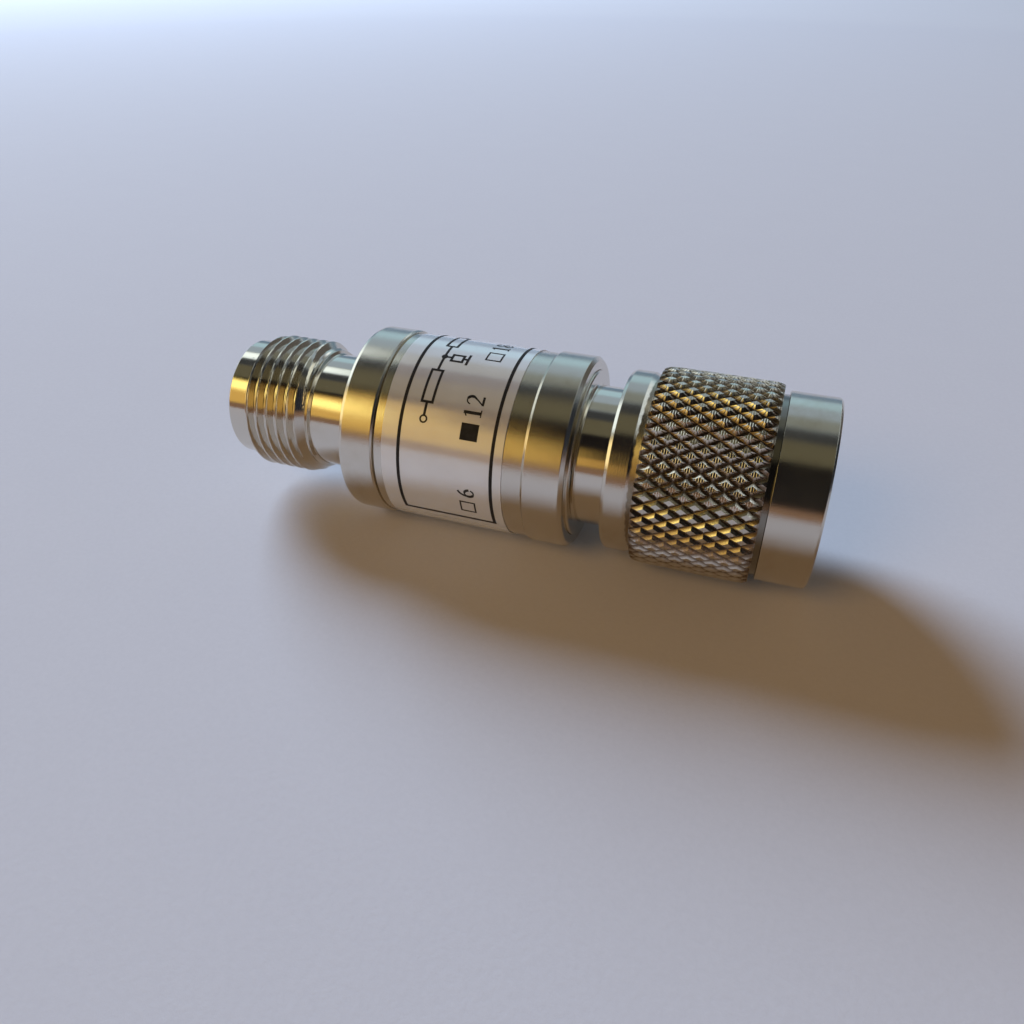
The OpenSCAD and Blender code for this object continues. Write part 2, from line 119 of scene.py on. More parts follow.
def outline(points, closed=True):
    """Rounds the corners of an (r, z, radius) outline that runs clockwise, with r to the right and z up.
    Returns rings: r, z, and the profile's normal just before and just after (None where it is a plain line's)."""
    rings = []
    count = len(points)
    for i, (r, z, radius) in enumerate(points):
        if radius == 0 or (not closed and i in (0, count - 1)):
            rings.append((r, z, None, None))
            continue
        p = np.array((r, z))
        back = np.array(points[i - 1][:2]) - p
        ahead = np.array(points[(i + 1) % count][:2]) - p
        room = LARGEST_SHARE * min(np.linalg.norm(back), np.linalg.norm(ahead))
        back, ahead = unit(back), unit(ahead)
        half = 0.5 * math.acos(max(-1.0, min(1.0, float(back @ ahead))))
        reach = min(radius / math.tan(half), room)
        radius = reach * math.tan(half)
        centre = p + unit(back + ahead) * radius / math.sin(half)
        start, end = p + back * reach - centre, p + ahead * reach - centre
        left = np.array((back[1], -back[0]))
        sign = 1.0 if start @ left > 0 else -1.0
        turn = math.pi - 2 * half
        steps = max(2, math.ceil(turn / ARC_STEP))
        for k in range(steps + 1):
            t = k / steps
            arm = (math.sin((1 - t) * turn) * start + math.sin(t * turn) * end) / math.sin(turn)
            q = centre + arm
            n = sign * unit(arm)
            rings.append((q[0], q[1], (n[0], 0.0, n[1]), (n[0], 0.0, n[1])))
    return rings


def revolve(shell, rings, segments=SEGMENTS, start=0.0, sweep=360.0):
    """Turns a closed list of rings about the axis, all the way round or through a part of it with closed ends.
    A ring's r and normals may vary around it."""
    whole = sweep == 360.0
    columns = segments if whole else segments + 1
    theta = np.radians(start + sweep * np.arange(columns) / segments)
    c, s = np.cos(theta), np.sin(theta)
    radius = np.array([np.broadcast_to(ring[0], columns) for ring in rings], float)
    height = np.array([np.broadcast_to(ring[1], columns) for ring in rings], float)
    k = len(rings)
    step_r = (np.roll(radius, -1, 0) - radius).mean(1)
    step_z = (np.roll(height, -1, 0) - height).mean(1)
    line = np.stack([-step_z, np.zeros(k), step_r], axis=1)
    line /= np.maximum(np.linalg.norm(line, axis=1, keepdims=True), 1e-12)

    def corner(i, which, fallback):
        n = rings[i][which]
        n = np.broadcast_to(line[fallback] if n is None else np.asarray(n, float), (columns, 3))
        return np.stack([n[:, 0] * c - n[:, 1] * s, n[:, 0] * s + n[:, 1] * c, n[:, 2]], axis=1)

    after = [corner(i, 3, i) for i in range(k)]
    before = [corner(i, 2, i - 1) for i in range(k)]
    index, verts, total = [], [], 0
    for i in range(k):
        pole = radius[i].max() < 1e-6
        points = np.stack([radius[i] * c, radius[i] * s, height[i]], axis=1)
        verts.append(points[:1] if pole else points)
        index.append(np.full(columns, total) if pole else total + np.arange(columns))
        total += 1 if pole else columns
    verts = np.concatenate(verts)
    here = np.arange(segments)
    there = (here + 1) % columns
    faces, normals = [], []
    for i in range(k):
        j = (i + 1) % k
        a, b, a2, b2 = index[i][here], index[j][here], index[i][there], index[j][there]
        na, nb, na2, nb2 = after[i][here], before[j][here], after[i][there], before[j][there]
        if a[0] == a[1] and b[0] == b[1]:
            continue
        if a[0] == a[1]:
            faces.append(np.stack([a, b, b2], axis=1))
            normals.append(np.stack([na, nb, nb2], axis=1))
        elif b[0] == b[1]:
            faces.append(np.stack([a, b, a2], axis=1))
            normals.append(np.stack([na, nb, na2], axis=1))
        else:
            faces.append(np.stack([a, b, b2, a2], axis=1))
            normals.append(np.stack([na, nb, nb2, na2], axis=1))
    if not whole:
        for column, side in ((0, -1), (columns - 1, 1)):
            loop = [ids[column] for ids in index][::side]
            faces.append(np.array([loop]))
            ahead = side * np.array((-s[column], c[column], 0.0))
            normals.append(np.broadcast_to(ahead, (1, k, 3)))
    shell.add(verts, faces, normals)


def prism(shell, points, low, high):
    """A flat outline, anticlockwise from above, drawn up along the axis."""
    n = len(points)
    points = np.array(points, float)
    verts = np.concatenate([np.column_stack([points, np.full(n, z)]) for z in (low, high)])
    a = np.arange(n)
    b = (a + 1) % n
    walls = np.stack([a, b, b + n, a + n], axis=1)
    floor_face, roof = a[::-1][None], (a + n)[None]
    shell.add(verts, [walls, floor_face, roof],
              [flat_normals(verts, walls), np.broadcast_to((0.0, 0.0, -1.0), (1, n, 3)),
               np.broadcast_to((0.0, 0.0, 1.0), (1, n, 3))])


def thread_shape(crest=0.10, root=0.12, blur=0.01, samples=2000):
    """Depth of a 60 degree thread over one pitch, from 0 on the crest to 1 in the root, with softened edges."""
    u = np.arange(samples) / samples
    away = np.abs((u + 0.5) % 1 - 0.5)
    depth = np.clip((away - crest / 2) / (0.5 - crest / 2 - root / 2), 0, 1)
    kernel = np.exp(-0.5 * ((np.minimum(u, 1 - u)) / blur) ** 2)
    depth = np.real(np.fft.ifft(np.fft.fft(depth) * np.fft.fft(kernel / kernel.sum())))
    slope = (np.roll(depth, -1) - np.roll(depth, 1)) * samples / 2
    return u, depth, slope


def thread_rings(heights, crest_r, drop, limit, inside=False, segments=SEGMENTS):
    """Rings of a right-handed helical thread whose root lies a drop nearer the axis than its crest.
    limit(z) gives a radius that the thread doesn't pass, and its slope."""
    u, depth, slope = thread_shape()
    theta = np.linspace(0, 2 * math.pi, segments, endpoint=False)
    side = -1.0 if inside else 1.0
    rings = []
    for z in heights:
        phase = (z / PITCH - theta / (2 * math.pi) + THREAD_START) % 1
        r = crest_r - drop * np.interp(phase, u, depth, period=1)
        dz = -drop * np.interp(phase, u, slope, period=1) / PITCH
        dt = -dz * PITCH / (2 * math.pi)
        end_r, end_slope = limit(z)
        cut = (r - end_r) * side > 0
        r, dz, dt = np.where(cut, end_r, r), np.where(cut, end_slope, dz), np.where(cut, 0, dt)
        n = side * unit(np.stack([np.ones_like(r), -dt / r, -dz], axis=1))
        rings.append((r, z, n, n))
    return rings


def ramp(pairs):
    """A line through (z, r) pairs as a function that gives r and dr/dz."""
    z, r = np.array(pairs, float).T

    def at(height):
        k = min(max(int(np.searchsorted(z, height)) - 1, 0), len(z) - 2)
        rise = (r[k + 1] - r[k]) / (z[k + 1] - z[k])
        return r[k] + rise * (height - z[k]), rise

    return at


def knurl(shell):
    """Flat-topped diamonds between crossing V-shaped furrows. The tops keep the fine lines of the turning tool."""
    rng = random.Random(7)
    # A diamond's outlines from its top down to the furrow: half width, and share of the depth
    levels, drops = (KNURL_FLAT, 0.94, 1.0), (0.0, 0.67, 0.72)
    half = [0.0]
    for track in TRACKS:
        half += [track - TRACK_HALF, track, track + TRACK_HALF]
    half.append(KNURL_FLAT)
    across_top = [-b for b in half[:0:-1]] + half
    # How far the knurl is trimmed near its ends: rows from the end, and share of the depth
    ends = ramp([(0, 0.55), (0.5, 0.06), (0.9, 0.0), (99, 0.0)])
    foot_r = BAND_R - 0.15
    verts, faces, key = [], [], {}

    def point(i, j, a, b, depth):
        z = j + b
        trim = ends(min(z, KNURL_ROWS - z))[0]
        r = KNURL_TOP_R - KNURL_DEPTH * (trim * (1 - depth) + depth)
        t = (math.pi * (i + a) / KNURL_COUNT) % (2 * math.pi)
        return corner(r, t, KNURL_LOW + z * KNURL_ROW)

    def corner(r, t, z):
        p = (r * math.cos(t), r * math.sin(t), z)
        name = tuple(round(v, 5) for v in p)
        if name not in key:
            key[name] = len(verts)
            verts.append(p)
        return key[name]

    def face(*ids):
        ids = [v for n, v in enumerate(ids) if v != ids[n - 1]]
        if len(ids) > 2:
            faces.append(ids)

    def cut(b):
        return TRACK_DEPTH / KNURL_DEPTH if abs(b) in TRACKS else 0.0

    edges = {0: [], KNURL_ROWS: []}
    for j in range(KNURL_ROWS + 1):
        stops = [b for b in across_top if not (j == 0 and b < 0) and not (j == KNURL_ROWS and b > 0)]
        for k in range(KNURL_COUNT):
            i = 2 * k + j % 2
            lift = rng.uniform(-0.02, 0.03)
            loops = []
            for level, drop in zip(levels, drops):
                left, right = [], []
                for stop in stops:
                    b = level * stop / KNURL_FLAT
                    a = level - abs(b)
                    depth = drop + lift * (1 - drop) + (cut(stop) if level == KNURL_FLAT else 0.0)
                    right.append(point(i, j, a, b, depth))
                    left.append(point(i, j, -a, b, depth))
                loops.append((left, right))
            left, right = loops[0]
            middle = [point(i, j, 0, b, lift + cut(b)) for b in stops]
            for m in range(len(stops) - 1):
                face(left[m], middle[m], middle[m + 1], left[m + 1])
                face(middle[m], right[m], right[m + 1], middle[m + 1])
            for (l0, r0), (l1, r1) in zip(loops, loops[1:]):
                for m in range(len(stops) - 1):
                    face(r0[m], r1[m], r1[m + 1], r0[m + 1])
                    face(l1[m], l0[m], l0[m + 1], l1[m + 1])
            if j in edges:
                m = 0 if j == 0 else -1
                across = [l[m] for l, _ in reversed(loops)] + [middle[m]] + [r[m] for _, r in loops]
                edges[j] += across[:-1]
    low, high = edges[0], edges[KNURL_ROWS]
    feet = []
    for v in low:
        x, y, _ = verts[v]
        t = math.atan2(y, x) % (2 * math.pi)
        feet.append((corner(foot_r, t, KNURL_LOW), corner(foot_r, t, KNURL_HIGH)))
    for n in range(len(low)):
        m = (n + 1) % len(low)
        face(feet[n][0], feet[m][0], low[m], low[n])
        face(feet[n][1], high[n], high[m], feet[m][1])
        face(feet[m][0], feet[n][0], feet[n][1], feet[m][1])
    points = np.array(verts)
    rows = [np.array([f for f in faces if len(f) == size]) for size in (3, 4)]
    shell.add(points, rows, [flat_normals(points, r) for r in rows])


class Graph:
    """The node tree of a material or a world, with short calls."""

    def __init__(self, owner, output="ShaderNodeOutputMaterial"):
        self.owner = owner
        owner.use_nodes = True
        self.tree = owner.node_tree
        self.tree.nodes.clear()
        self.out = self.node(output)

    def feed(self, socket, value):
        if isinstance(value, bpy.types.NodeSocket):
            self.tree.links.new(value, socket)
        else:
            socket.default_value = value

    def node(self, kind, values=(), **settings):
        """values: inputs by name or number; settings: the node's own properties."""
        node = self.tree.nodes.new(kind)
        for name, value in settings.items():
            setattr(node, name, value)
        for name, value in dict(values).items():
            self.feed(node.inputs[name], value)
        return node

    def math(self, operation, *values):
        return self.node("ShaderNodeMath", enumerate(values), operation=operation).outputs[0]

    def between(self, value, low, high, to_low=0.0, to_high=1.0):
        """A smooth step from to_low to to_high while the value goes from low to high."""
        limits = {"From Min": low, "From Max": high, "To Min": to_low, "To Max": to_high}
        return self.node("ShaderNodeMapRange", {"Value": value, **limits},
                         interpolation_type="SMOOTHSTEP").outputs[0]

    def noise(self, vector, scale, detail=2.0, roughness=0.5):
        return self.node("ShaderNodeTexNoise", {"Vector": vector, "Scale": scale, "Detail": detail,
                                                "Roughness": roughness}).outputs["Fac"]

    def blend(self, factor, one, two):
        """A mix of two colours, each a socket or (r, g, b)."""
        node = self.node("ShaderNodeMix", data_type="RGBA")
        inputs = {socket.identifier: socket for socket in node.inputs}
        self.feed(inputs["Factor_Float"], factor)
        for name, colour in (("A_Color", one), ("B_Color", two)):
            linked = isinstance(colour, bpy.types.NodeSocket)
            self.feed(inputs[name], colour if linked else (*colour, 1.0))
        return next(socket for socket in node.outputs if socket.identifier == "Result_Color")

    def bump(self, height, distance, strength=1.0):
        return self.node("ShaderNodeBump", {"Height": height, "Distance": distance,
                                            "Strength": strength}).outputs[0]

    def position(self):
        """The point on the object, in metres, with its distance from the axis and its height."""
        point = self.node("ShaderNodeTexCoord").outputs["Object"]
        part = self.node("ShaderNodeSeparateXYZ", {"Vector": point})
        x, y, z = part.outputs
        away = self.math("SQRT", self.math("ADD", self.math("MULTIPLY", x, x), self.math("MULTIPLY", y, y)))
        return point, away, z

    def show(self, shader):
        self.feed(self.out.inputs["Surface"], shader.outputs[0])
        return self.owner

    def surface(self, **values):
        """Shows a surface with these values, named like the shader's sockets, and returns its material."""
        sockets = {name.replace("_", " "): value for name, value in values.items()}
        return self.show(self.node("ShaderNodeBsdfPrincipled", sockets))


def material_graph(name):
    return Graph(bpy.data.materials.new(name))


# Textures of the plated pieces in features to a metre, the tint of pits, and the tints of painted shade in the grip's
# furrows and in the groove beside it
GRAIN, TURNING, STAINS, PITS = 14000, 11000, 260, 620
PIT_TINT, FURROW_SHADE_TINT, GAP_SHADE_TINT = (0.12, 0.1, 0.08), (0.20, 0.145, 0.10), (0.08, 0.075, 0.06)


def plated(name, colour, stained, smooth, rough, grain, lines, pits=0.5, knurled=False):
    """A plated, turned surface: fine grain, turning lines round the axis, faint stains and a few pits.
    Smooth and rough are the roughness where it is clean and where it is stained. The thick pieces are grainier than
    the necks. On the grip, painted shade darkens the furrows, which are also rougher, and the groove by the ring."""
    g = material_graph(name)
    point, away, z = g.position()
    fine = g.noise(point, GRAIN, 3, 0.6)
    round_axis = g.node("ShaderNodeCombineXYZ", {"Z": z}).outputs[0]
    turning = g.noise(round_axis, TURNING, 2, 0.7)
    cloud = g.noise(point, STAINS, 4, 0.6)
    cells = g.node("ShaderNodeTexVoronoi", {"Vector": point, "Scale": PITS})
    pick = g.node("ShaderNodeSeparateColor", {"Color": cells.outputs["Color"]}).outputs[0]
    pit = g.math("MULTIPLY", g.between(cells.outputs["Distance"], 0.045, 0.02), g.math("GREATER_THAN", pick, 0.72))
    pit = g.math("MULTIPLY", pit, pits)
    thick = g.between(away, (HOUSING_R - 0.2) * MM, (HOUSING_R + 0.6) * MM)
    texture = g.math("MULTIPLY", fine, g.math("ADD", 0.35, g.math("MULTIPLY", thick, 0.65)))
    height = g.math("ADD", g.math("MULTIPLY", texture, grain), g.math("MULTIPLY", turning, lines))
    height = g.math("SUBTRACT", height, g.math("MULTIPLY", pit, 1.5))
    stain = g.between(cloud, 0.5, 0.75)
    tint = g.blend(g.math("MULTIPLY", stain, 0.5), colour, stained)
    tint = g.blend(pit, tint, PIT_TINT)
    shine = g.math("ADD", g.between(cloud, 0.3, 0.75, smooth, rough), g.math("MULTIPLY", thick, 0.05))
    shine = g.math("ADD", shine, g.math("MULTIPLY", fine, 0.04))
    if knurled:
        # Painted shade on the grip: the colour darkens from the tops down into the furrows, which are also made
        # rougher.
        grip = g.math("MULTIPLY", g.between(z, (KNURL_LOW - 0.05) * MM, (KNURL_LOW + 0.05) * MM),
                      g.between(z, (KNURL_HIGH + 0.05) * MM, (KNURL_HIGH - 0.05) * MM))
        deep = g.between(away, (KNURL_TOP_R - 0.02) * MM, (KNURL_TOP_R - 0.2) * MM)
        furrow_shade = g.math("MULTIPLY", grip, deep)
        tint = g.blend(furrow_shade, tint, FURROW_SHADE_TINT)
        # Painted shade in the groove between the grip and the ring.
        gap_shade = g.math("MULTIPLY", g.between(z, (KNURL_LOW + 0.07) * MM, (KNURL_LOW - 0.01) * MM),
                     g.between(away, (BAND_R + 0.15) * MM, (BAND_R + 0.05) * MM))
        gap_shade = g.math("MULTIPLY", gap_shade, g.between(z, (RING_TOP - 0.05) * MM, (RING_TOP + 0.01) * MM))
        tint = g.blend(g.math("MULTIPLY", gap_shade, 0.7), tint, GAP_SHADE_TINT)
        shine = g.math("ADD", shine, g.math("MULTIPLY", furrow_shade, 0.12))
    return g.surface(Base_Color=tint, Metallic=1.0, Roughness=shine, Normal=g.bump(height, 0.000004))


nickel = plated("nickel_plate", (0.70, 0.65, 0.57), (0.60, 0.52, 0.41), 0.05, 0.11, 1.7, 0.45)
nut_nickel = plated("nickel_plate_nut", (0.66, 0.61, 0.53), (0.55, 0.47, 0.36), 0.05, 0.12, 0.9, 0.8, knurled=True)
gold = plated("gold_plate", (0.83, 0.62, 0.27), (0.72, 0.50, 0.20), 0.12, 0.22, 0.5, 0.5, 0.2)
bronze = plated("spring_bronze", (0.72, 0.55, 0.34), (0.58, 0.42, 0.24), 0.16, 0.28, 0.6, 0.6)
brass = plated("bare_brass", (0.70, 0.54, 0.26), (0.52, 0.38, 0.18), 0.22, 0.36, 0.7, 0.7)
silver = plated("silver_film", (0.76, 0.75, 0.72), (0.62, 0.58, 0.5), 0.3, 0.42, 0.8, 0.2)


def mottled(name, colour, other, rough, scale, height=0.000006, **more):
    """A matt or waxy material with a fine mottle of two colours."""
    g = material_graph(name)
    point, _, _ = g.position()
    broad, fine = g.noise(point, scale, 3), g.noise(point, scale * 9, 3, 0.6)
    tint = g.blend(g.between(broad, 0.3, 0.7), colour, other)
    shine = g.between(fine, 0.2, 0.8, rough - 0.06, rough + 0.08)
    return g.surface(Base_Color=tint, Roughness=shine, Normal=g.bump(fine, height), **more)


ptfe = mottled("white_insulator", (0.80, 0.80, 0.77), (0.74, 0.74, 0.71), 0.42, 500,
               Subsurface_Weight=0.15, Subsurface_Scale=0.0006)
rubber = mottled("gasket_rubber", (0.50, 0.09, 0.04), (0.42, 0.06, 0.03), 0.55, 600)
alumina = mottled("ceramic", (0.80, 0.79, 0.75), (0.73, 0.72, 0.68), 0.5, 900)
film = mottled("resistor_film", (0.03, 0.03, 0.034), (0.05, 0.048, 0.046), 0.45, 1500)
paper = mottled("label_paper", (0.80, 0.80, 0.785), (0.76, 0.755, 0.735), 0.17, 320, 0.0000005,
                Metallic=0.48, Specular_IOR_Level=0.8, Coat_Weight=0.8, Coat_Roughness=0.10, Coat_IOR=1.5)
ink = mottled("label_ink", (0.012, 0.011, 0.011), (0.022, 0.02, 0.019), 0.5, 2500, 0.000002,
              Specular_IOR_Level=0.2)


def place(obj, body, slot, *nodes):
    """Puts a piece on its body and hides the CAD nodes that it stands for. The slot is not used."""
    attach(obj, body)
    if nodes:
        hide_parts(*nodes)
    return obj


def coupling_nut():
    """The nut with its thread and knurl. Profiles list radius, height and rounding of each corner, clockwise."""
    shell = Shell()
    mouth_r, crest_r, limit_r, relief_r, back_r, groove_r = 5.755, 5.154, 5.15, 5.705, 5.45, 6.0
    thread_low, thread_high, step = 0.55, 6.2, 0.045
    limit = ramp([(0.0, mouth_r), (0.6, limit_r), (5.9, limit_r), (6.4, 5.7)])
    heights = np.arange(thread_low, thread_high, step)
    rings = [(mouth_r, 0.0, None, None)]
    rings += thread_rings(heights, crest_r, -NUT_THREAD_DEPTH, limit, inside=True)
    outside = [
        (limit_r, thread_high, 0),
        (relief_r, 6.4, 0.05),
        (relief_r, 8.6, 0),
        (back_r, 8.6, 0.03),
        (back_r, 11.0, 0.02),
        (groove_r, 11.0, 0),
        (groove_r, 12.6, 0),
        (back_r, 12.6, 0.02),
        (back_r, 14.8, 0),
        (back_r + 0.2, NUT_TOP, 0.04),
        (COLLAR_R - 0.14, NUT_TOP, 0.04),
        (COLLAR_R, NUT_TOP - 0.26, 0.05),
        (COLLAR_R, COLLAR_LOW + 0.2, 0.05),
        (BAND_R - 0.09, 12.72, 0.03),
        (BAND_R - 0.09, 5.0, 0),
        (BAND_R, 5.0, 0),
        (BAND_R, RING_TOP, 0.05),
        (RING_R, RING_TOP, 0.03),
        (RING_R, 0.16, 0.1),
        (RING_R - 0.16, 0.0, 0.06),
        (mouth_r, 0.0, 0),
    ]
    rings += outline(outside, closed=False)[:-1]
    revolve(shell, rings)
    knurl(shell)
    obj = shell.build("nut_turned", nut_nickel)
    return place(obj, "nut", "nickel_nut", "coupling_nut")


def jack_shell():
    """The jack with its thread. A 45 degree chamfer ends the thread above the neck."""
    shell = Shell()
    low, low_edge, step_low, bore_low = 28.4, 28.6, 41.035, 41.835
    line_r, step_r, foot_r, past_crest_r = 3.25, 2.38, 4.9, 5.6
    before = [
        (line_r, low, 0.03),
        (line_r, step_low, 0),
        (step_r, step_low, 0.03),
        (step_r, bore_low, 0.03),
        (JACK_BORE_R, bore_low, 0.05),
        (JACK_BORE_R, TOP - 0.35, 0.05),
        (JACK_BORE_R + 0.2, TOP, 0.06),
        (NOSE_R - 0.15, TOP, 0.08),
        (NOSE_R, TOP - 0.15, 0.08),
        (NOSE_R, NOSE_LOW + 0.25, 0.3),
        (NOSE_R + 0.05, NOSE_LOW + 0.05, 0.15),
        (NOSE_R + 0.14, NOSE_LOW - 0.04, 0.0),
    ]
    limit = ramp([(THREAD_LOW, foot_r), (THREAD_LOW + 0.7, past_crest_r),
                  (44.98, past_crest_r), (NOSE_LOW - 0.04, NOSE_R + 0.14)])
    heights = np.arange(NOSE_LOW - 0.07, THREAD_LOW + 0.02, -0.032)
    rings = outline(before, closed=False)
    rings += thread_rings(heights, THREAD_R, JACK_THREAD_DEPTH, limit)
    after = [
        (foot_r, THREAD_LOW, 0),
        (4.96, 39.70, 0.04),
        (JACK_NECK_R, 39.56, 0.10),
        (JACK_NECK_R, FLANGE_TOP + 0.1, 0.06),
        (JACK_NECK_R + 0.12, FLANGE_TOP, 0.05),
        (RIM_R - 0.09, FLANGE_TOP, 0.03),
        (RIM_R, FLANGE_TOP - 0.26, 0.12),
        (RIM_R, FLANGE_LOW + 0.12, 0.06),
        (RIM_R - 0.12, FLANGE_LOW, 0.04),
        (HOUSING_R - 0.02, FLANGE_LOW, 0),
        (HOUSING_R - 0.02, low_edge, 0.05),
        (HOUSING_R - 0.22, low, 0.05),
        (line_r, low, 0),
    ]
    rings += outline(after, closed=False)[:-1]
    revolve(shell, rings)
    obj = shell.build("jack_turned", nickel)
    return place(obj, "body", "nickel", "jack_shell")


def lathe_piece(name, material, slot, node, points):
    """A turned piece of the body from its closed profile."""
    shell = Shell()
    revolve(shell, outline(points))
    return place(shell.build(name, material), "body", slot, node)


def housing():
    return lathe_piece("housing_tube", nickel, "nickel", "housing", [
        (HUB_R + 0.02, HUB_TOP, 0),
        (HOUSING_R, HUB_TOP, 0),
        (HOUSING_R, FLANGE_LOW, 0.03),
        (ZONE_R - 0.14, FLANGE_LOW, 0.04),
        (ZONE_R, FLANGE_LOW - 0.14, 0.06),
        (ZONE_R, RIM_TOP, 0.03),
        (RIM_R, RIM_TOP - 0.2, 0.06),
        (RIM_R, HOUSING_LOW + 0.28, 0.08),
        (RIM_R - 0.28, HOUSING_LOW, 0.05),
        (HUB_R + 0.02, HOUSING_LOW, 0.05),
    ])


def plug_shell():
    return lathe_piece("plug_turned", nickel, "nickel", "plug_shell", [
        (4.27, 8.2, 0.03),
        (4.27, 11.3, 0),
        (3.25, 11.3, 0.03),
        (3.25, 22.0, 0.03),
        (5.78, 22.0, 0.05),
        (5.98, 21.8, 0.05),
        (5.98, HUB_TOP, 0.0),
        (HUB_R, HUB_TOP, 0.03),
        (HUB_R, HUB_LOW + 0.1, 0.05),
        (HUB_R - 0.1, HUB_LOW, 0.05),
        (NECK_R + 0.15, HUB_LOW, 0.06),
        (NECK_R, HUB_LOW - 0.15, 0.08),
        (NECK_R, 12.56, 0.02),
        (4.9, 12.56, 0.02),
        (4.9, 11.04, 0.02),
        (NECK_R, 11.04, 0.02),
        (NECK_R, 8.3, 0.05),
        (NECK_R - 0.1, 8.2, 0.05),
    ])


def label():
    """A strip of paper wrapped round the housing, with its end lapped over its start at the back."""
    columns, rows = 260, 12
    start, lap, climb = math.radians(150), math.radians(14), math.radians(5)
    theta = start + (2 * math.pi + lap) * np.linspace(0, 1, columns)
    rise = np.clip((theta - start - 2 * math.pi + climb) / climb, 0, 1)
    base = LABEL_R + (LABEL_T + 0.004) * rise * rise * (3 - 2 * rise)
    height = np.linspace(0, 1, rows)
    verts = []
    for thick in (LABEL_T, 0.0):
        for h in height:
            edge = 0.016 * np.sin(3 * theta + 1.0) + 0.01 * np.sin(7 * theta)
            z = LABEL_LOW + (LABEL_TOP - LABEL_LOW) * h + edge * (1 - h) + 0.7 * edge[::-1] * h
            r = base + thick
            verts.append(np.stack([r * np.cos(theta), r * np.sin(theta), z], axis=1))
    verts = np.concatenate(verts)
    grid = np.arange(2 * rows * columns).reshape(2, rows, columns)
    outer, inner = grid

    def quads(a):
        return np.stack([a[:-1, :-1], a[:-1, 1:], a[1:, 1:], a[1:, :-1]], axis=-1).reshape(-1, 4)

    def radial(faces, sign):
        p = verts[faces].copy()
        p[..., 2] = 0
        return sign * unit(p)

    skin, lining = quads(outer), quads(inner)[:, ::-1]
    walls = [quads(np.stack([inner[0], outer[0]])), quads(np.stack([outer[-1], inner[-1]])),
             quads(np.stack([outer[:, 0], inner[:, 0]])), quads(np.stack([inner[:, -1], outer[:, -1]]))]
    shell = Shell()
    shell.add(verts, [skin, lining] + walls,
              [radial(skin, 1), radial(lining, -1)] + [flat_normals(verts, w) for w in walls])
    return place(shell.build("label_wrap", paper), "body", "label_paper", "label")


# How far the ink reaches into the label and stands proud of it, and the steps in which a stroke bends
INK_BELOW, INK_ABOVE, INK_STEP = 0.004, 0.007, 0.2


class Print:
    """Strokes of ink on the label. Across runs round the label in millimetres from the photographed side; up is z."""

    def __init__(self):
        self.shell = Shell()
        self.low, self.high = LABEL_R + LABEL_T - INK_BELOW, LABEL_R + LABEL_T + INK_ABOVE

    def wrap(self, p, r):
        t = p[:, 0] / (LABEL_R + LABEL_T) - math.pi / 2
        return np.stack([r * np.cos(t), r * np.sin(t), p[:, 1]], axis=1)

    def stroke(self, points, width, close=False):
        points = np.array(points, float)
        widths = np.broadcast_to(np.asarray(width, float), len(points))
        if close:
            points, widths = np.vstack([points, points[:1]]), np.append(widths, widths[0])
        dense, wide = [points[0]], [widths[0]]
        for a, b, wa, wb in zip(points, points[1:], widths, widths[1:]):
            steps = max(1, math.ceil(np.linalg.norm(b - a) / INK_STEP))
            for k in range(1, steps + 1):
                dense.append(a + (b - a) * k / steps)
                wide.append(wa + (wb - wa) * k / steps)
        if close:
            dense, wide = dense[:-1], wide[:-1]
        p, w = np.array(dense), np.array(wide)
        ahead = np.roll(p, -1, 0) - p
        behind = p - np.roll(p, 1, 0)
        if not close:
            ahead[-1], behind[0] = behind[-1], ahead[0]
        ahead, behind = unit(ahead), unit(behind)
        mitre = unit(ahead + behind)
        stretch = 1 / np.maximum(np.sum(mitre * ahead, axis=1), 0.5)
        side = np.stack([-mitre[:, 1], mitre[:, 0]], axis=1) * (0.5 * w * stretch)[:, None]
        self.solid(p + side, p - side, close)

    def solid(self, left, right, close):
        n = len(left)
        lt, rt = self.wrap(left, self.high), self.wrap(right, self.high)
        lb, rb = self.wrap(left, self.low), self.wrap(right, self.low)
        verts = np.concatenate([lt, rt, rb, lb])
        a = np.arange(n if close else n - 1)
        b = (a + 1) % n
        faces = []
        for k in range(4):
            m = (k + 1) % 4
            faces.append(np.stack([k * n + a, m * n + a, m * n + b, k * n + b], axis=1))
        if not close:
            faces.append(np.array([[0, 3 * n, 2 * n, n], [n - 1, 2 * n - 1, 3 * n - 1, 4 * n - 1]]))
        top = verts[faces[0]].copy()
        top[..., 2] = 0
        self.shell.add(verts, faces, [unit(top)] + [flat_normals(verts, f) for f in faces[1:]])

    def box(self, x, z, width, height, line):
        self.stroke([(x, z), (x + width, z), (x + width, z + height), (x, z + height)], line, close=True)

    def filled(self, x, z, width, height):
        steps = np.linspace(x, x + width, 8)
        top, bottom = (np.stack([steps, np.full_like(steps, level)], axis=1) for level in (z + height, z))
        self.solid(top, bottom, close=False)

    def dot(self, x, z, radius):
        t = np.linspace(0.15, math.pi - 0.15, 9)
        top = np.stack([x - radius * np.cos(t), z + radius * np.sin(t)], axis=1)
        bottom = np.stack([x - radius * np.cos(t), z - radius * np.sin(t)], axis=1)
        self.solid(top, bottom, close=False)


def arc(cx, cz, rx, rz, start, end, steps=14):
    return [(cx + rx * math.cos(math.radians(a)), cz + rz * math.sin(math.radians(a)))
            for a in np.linspace(start, end, steps)]


